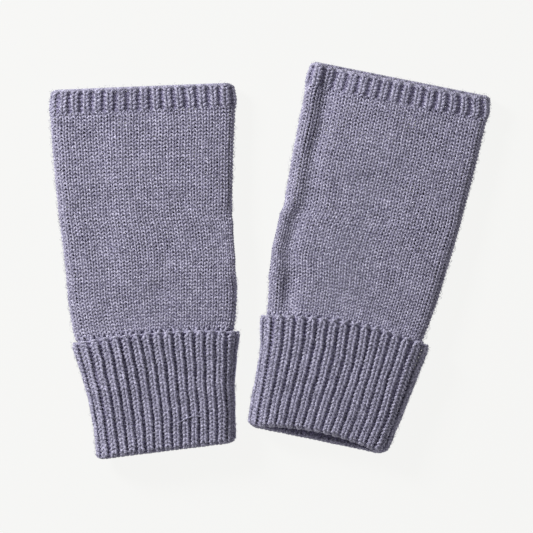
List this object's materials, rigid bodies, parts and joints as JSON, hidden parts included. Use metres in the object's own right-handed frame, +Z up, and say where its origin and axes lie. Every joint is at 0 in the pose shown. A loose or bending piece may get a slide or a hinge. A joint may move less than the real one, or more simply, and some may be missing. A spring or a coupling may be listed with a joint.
{
  "type": "fingerless gloves",
  "caption": "Pair of knitted fingerless gloves laid flat: plain-knit hands with a thumb slit, ribbed finger bands and wide ribbed cuffs turned up at the wrist.",
  "frame": {"origin": "centre of the pair's underside, on the surface that the gloves lie on", "axes": "+Z up off that surface, +X across the pair from the left-hand glove to the right-hand one, and +Y towards the finger openings"},
  "size_m": [0.212, 0.192, 0.0156],
  "materials": {
    "plain_knit": "matte",
    "rib_knit": "matte",
    "knit_edge": "matte",
    "label_ribbon": "satin"
  },
  "bodies": {
    "left_glove": {"left_back_panel": "plain_knit", "left_palm_panel": "plain_knit", "left_outer_side_seam": "knit_edge", "left_thumb_side_seam_lower": "knit_edge", "left_thumb_side_seam_upper": "knit_edge", "left_thumb_slit_edge_back": "knit_edge", "left_thumb_slit_edge_palm": "knit_edge", "left_thumb_slit_tack_lower": "knit_edge", "left_thumb_slit_tack_upper": "knit_edge", "left_finger_rib_band": "rib_knit", "left_finger_bind_off": "knit_edge", "left_wrist_rib": "rib_knit", "left_care_label": "label_ribbon"},
    "left_cuff": {"left_turned_cuff": "rib_knit", "left_cuff_cast_on_edge": "knit_edge", "left_cuff_fold": "rib_knit"},
    "right_glove": {"right_back_panel": "plain_knit", "right_palm_panel": "plain_knit", "right_outer_side_seam": "knit_edge", "right_thumb_side_seam_lower": "knit_edge", "right_thumb_side_seam_upper": "knit_edge", "right_thumb_slit_edge_back": "knit_edge", "right_thumb_slit_edge_palm": "knit_edge", "right_thumb_slit_tack_lower": "knit_edge", "right_thumb_slit_tack_upper": "knit_edge", "right_finger_rib_band": "rib_knit", "right_finger_bind_off": "knit_edge", "right_wrist_rib": "rib_knit"},
    "right_cuff": {"right_turned_cuff": "rib_knit", "right_cuff_cast_on_edge": "knit_edge", "right_cuff_fold": "rib_knit"}
  },
  "joints": [
    {"name": "right_glove_slide", "type": "slide", "parent": "left_glove", "child": "right_glove", "axis": [1, 0, 0], "range_m": [0, 0.25]},
    {"name": "left_cuff_slide", "type": "slide", "parent": "left_glove", "child": "left_cuff", "axis": [0.0227, -0.9997, 0], "range_m": [0, 0.022]},
    {"name": "right_cuff_slide", "type": "slide", "parent": "right_glove", "child": "right_cuff", "axis": [-0.19, -0.9818, 0], "range_m": [0, 0.022]}
  ]
}
